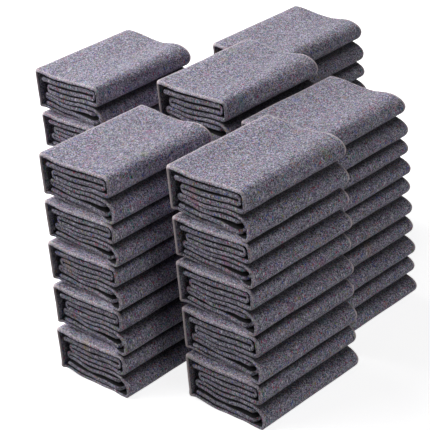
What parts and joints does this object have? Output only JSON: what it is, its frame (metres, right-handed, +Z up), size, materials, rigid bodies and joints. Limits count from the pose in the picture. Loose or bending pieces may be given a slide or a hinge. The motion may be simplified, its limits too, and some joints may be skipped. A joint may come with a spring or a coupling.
{
  "type": "moving blanket stack",
  "caption": "Pile of square-folded grey recycled-felt moving blankets, standing in close columns, each blanket folded back and forth in layers inside a taut outer fold.",
  "frame": {"origin": "on the surface that the pile stands on, under the middle of the pile's box", "axes": "+Z up; +Y along the blankets' strips, from their near ends to their far ends, and along the pile's longest side; +X from the blankets' taut spines to their rounded folds"},
  "size_m": [1.0062, 1.1328, 0.6102],
  "materials": {
    "recycled_felt": "matt grey needle-punched felt of recycled fibres, speckled with coloured, white and dark fibres"
  },
  "bodies": {
    "root": {"blanket_near_right_1": "recycled_felt", "blanket_near_right_2": "recycled_felt", "blanket_near_right_3": "recycled_felt", "blanket_near_right_4": "recycled_felt", "blanket_near_right_5": "recycled_felt", "blanket_far_right_1": "recycled_felt", "blanket_far_right_2": "recycled_felt", "blanket_far_right_3": "recycled_felt", "blanket_far_right_4": "recycled_felt", "blanket_far_right_5": "recycled_felt", "blanket_near_left_1": "recycled_felt", "blanket_near_left_2": "recycled_felt", "blanket_near_left_3": "recycled_felt", "blanket_near_left_4": "recycled_felt", "blanket_near_left_5": "recycled_felt", "blanket_middle_1": "recycled_felt", "blanket_middle_2": "recycled_felt", "blanket_middle_3": "recycled_felt", "blanket_middle_4": "recycled_felt", "blanket_middle_5": "recycled_felt", "blanket_far_left_1": "recycled_felt", "blanket_far_left_2": "recycled_felt", "blanket_far_left_3": "recycled_felt", "blanket_far_left_4": "recycled_felt", "blanket_far_left_5": "recycled_felt", "blanket_rear_1": "recycled_felt", "blanket_rear_2": "recycled_felt", "blanket_rear_3": "recycled_felt", "blanket_rear_4": "recycled_felt", "blanket_rear_5": "recycled_felt"}
  },
  "joints": []
}
